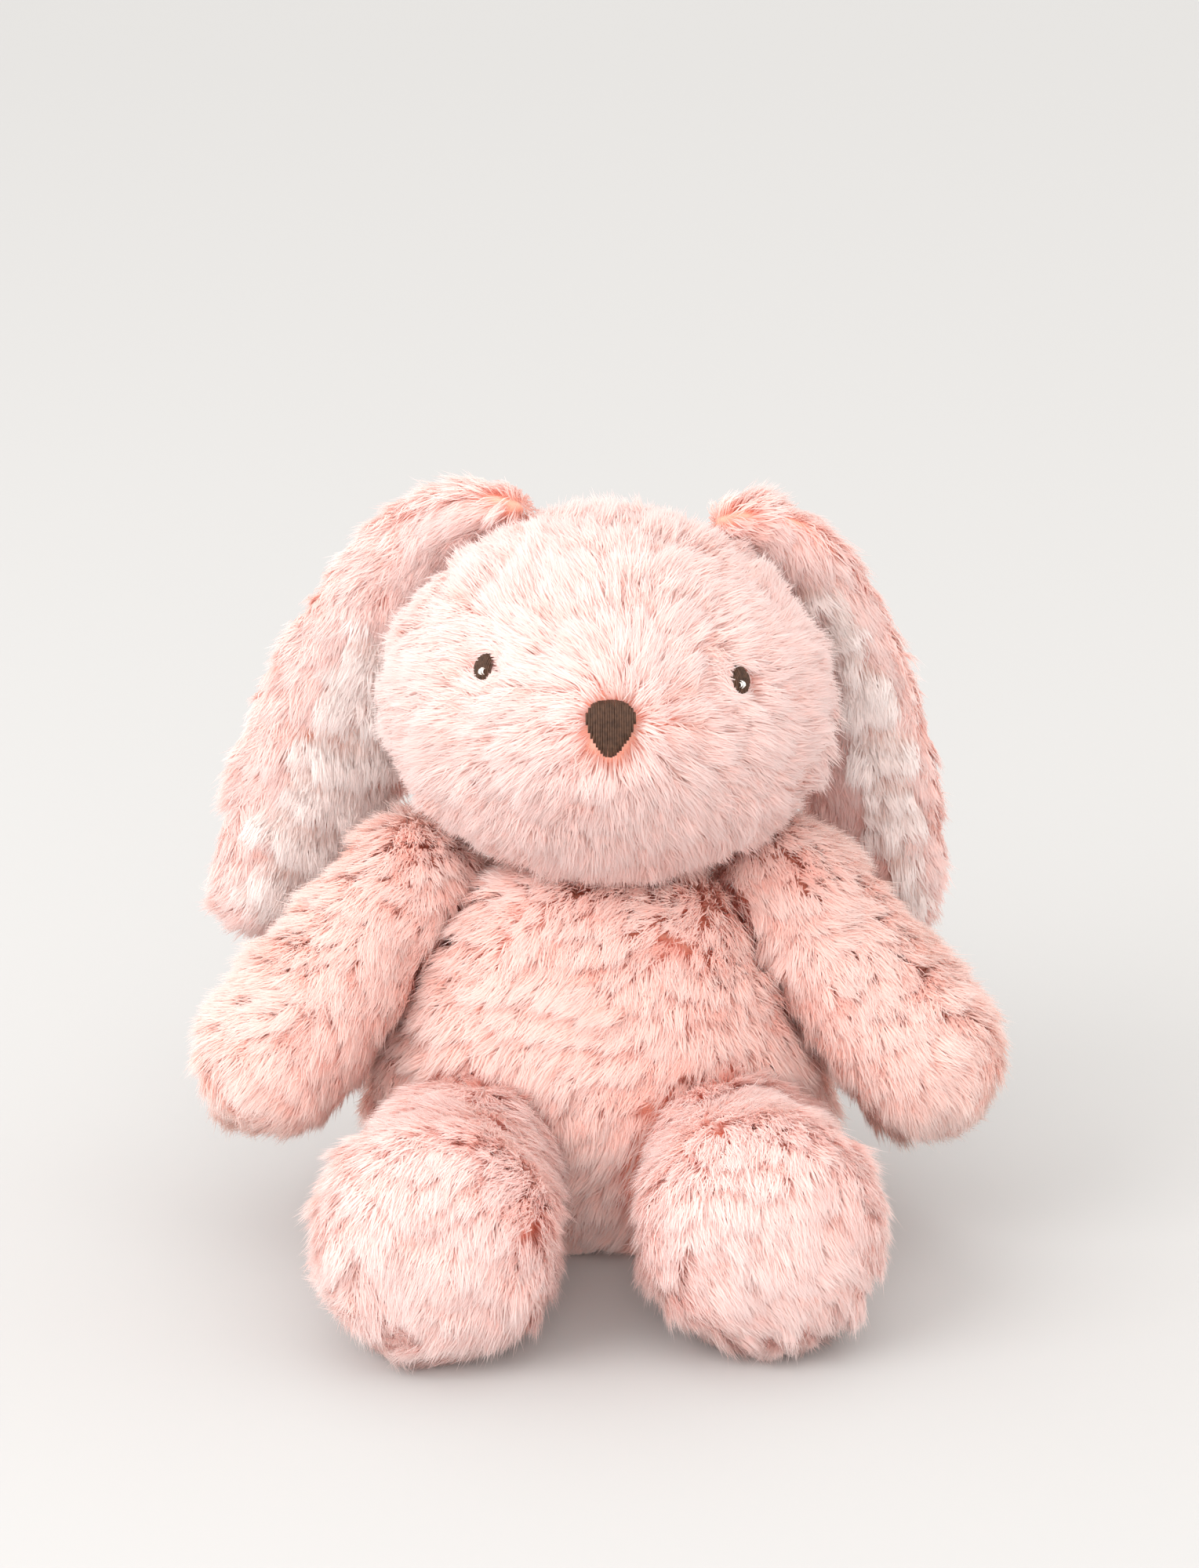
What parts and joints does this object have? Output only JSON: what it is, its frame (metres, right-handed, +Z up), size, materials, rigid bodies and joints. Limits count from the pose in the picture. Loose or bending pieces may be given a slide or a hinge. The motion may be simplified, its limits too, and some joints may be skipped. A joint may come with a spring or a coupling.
{
  "type": "plush bunny",
  "caption": "Seated lop-eared plush bunny in long shaggy fur, with hanging lined ears, splayed soft arms and legs, and an embroidered nose and eyes.",
  "frame": {"origin": "on the surface that the bunny sits on, under the middle of its box", "axes": "+X towards the bunny's own left, which is the viewer's right when it faces the viewer; +Y out of its back, so that it faces -Y; +Z up"},
  "size_m": [0.2242, 0.1966, 0.2082],
  "materials": {
    "pink_fur": "long shaggy plush pile, pale pink tips over a salmon backing",
    "pale_fur": "long shaggy plush pile, pale pink",
    "white_fur": "ribbed creamy white plush pile",
    "fibre": "loose matte polyester fibre",
    "bean_cloth": "plain matte woven cloth",
    "dark_thread": "satin stitched embroidery thread",
    "white_thread": "satin stitched embroidery thread",
    "pink_thread": "twisted sewing thread",
    "label_cloth": "smooth printed-satin ribbon, left blank"
  },
  "bodies": {
    "torso": {"torso_front_panel": "pink_fur", "torso_back_left_panel": "pink_fur", "torso_back_right_panel": "pink_fur", "torso_stuffing": "fibre", "bean_bag": "bean_cloth", "tail_panel": "white_fur", "tail_stuffing": "fibre", "care_label": "label_cloth", "closing_seam": "pink_thread"},
    "neck": {"neck_stuffing": "fibre", "neck_seam": "pink_thread"},
    "head": {"head_left_panel": "pale_fur", "head_right_panel": "pale_fur", "head_gusset_panel": "pale_fur", "head_stuffing": "fibre", "nose_embroidery": "dark_thread", "left_eye_embroidery": "dark_thread", "left_eye_glint": "white_thread", "right_eye_embroidery": "dark_thread", "right_eye_glint": "white_thread"},
    "left_ear": {"left_ear_outer_panel": "pink_fur", "left_ear_lining_panel": "white_fur"},
    "left_arm": {"left_arm_front_panel": "pink_fur", "left_arm_back_panel": "pink_fur", "left_arm_stuffing": "fibre"},
    "left_leg": {"left_leg_upper_panel": "pale_fur", "left_leg_lower_panel": "pale_fur", "left_leg_sole_panel": "pale_fur", "left_leg_stuffing": "fibre"},
    "right_ear": {"right_ear_outer_panel": "pink_fur", "right_ear_lining_panel": "white_fur"},
    "right_arm": {"right_arm_front_panel": "pink_fur", "right_arm_back_panel": "pink_fur", "right_arm_stuffing": "fibre"},
    "right_leg": {"right_leg_upper_panel": "pale_fur", "right_leg_lower_panel": "pale_fur", "right_leg_sole_panel": "pale_fur", "right_leg_stuffing": "fibre"}
  },
  "joints": [
    {"name": "head_tilt", "type": "hinge", "parent": "torso", "child": "neck", "pos_m": [0, 0.0315, 0.106], "axis": [0, 1, 0], "range_deg": [-7, 7], "stiffness_Nm_per_rad": 0.45},
    {"name": "head_nod", "type": "hinge", "parent": "neck", "child": "head", "pos_m": [0, 0.0315, 0.106], "axis": [1, 0, 0], "range_deg": [-9, 8], "stiffness_Nm_per_rad": 0.45},
    {"name": "left_ear_lift", "type": "hinge", "parent": "head", "child": "left_ear", "pos_m": [-0.01957, 0.0415, 0.20065], "axis": [0, 1, 0], "range_deg": [0, 100]},
    {"name": "left_arm_swing", "type": "hinge", "parent": "torso", "child": "left_arm", "pos_m": [-0.052, 0.0335, 0.0955], "axis": [-1, 0, 0], "range_deg": [-15, 60], "stiffness_Nm_per_rad": 0.12},
    {"name": "left_leg_swing", "type": "hinge", "parent": "torso", "child": "left_leg", "pos_m": [-0.0375, -0.0185, 0.0285], "axis": [-1, 0, 0], "range_deg": [-25, 30], "stiffness_Nm_per_rad": 0.15},
    {"name": "right_ear_lift", "type": "hinge", "parent": "head", "child": "right_ear", "pos_m": [0.03033, 0.0415, 0.19754], "axis": [0, -1, 0], "range_deg": [0, 100]},
    {"name": "right_arm_swing", "type": "hinge", "parent": "torso", "child": "right_arm", "pos_m": [0.052, 0.0335, 0.0955], "axis": [-1, 0, 0], "range_deg": [-15, 60], "stiffness_Nm_per_rad": 0.12},
    {"name": "right_leg_swing", "type": "hinge", "parent": "torso", "child": "right_leg", "pos_m": [0.0375, -0.0185, 0.0285], "axis": [-1, 0, 0], "range_deg": [-25, 30], "stiffness_Nm_per_rad": 0.15}
  ]
}
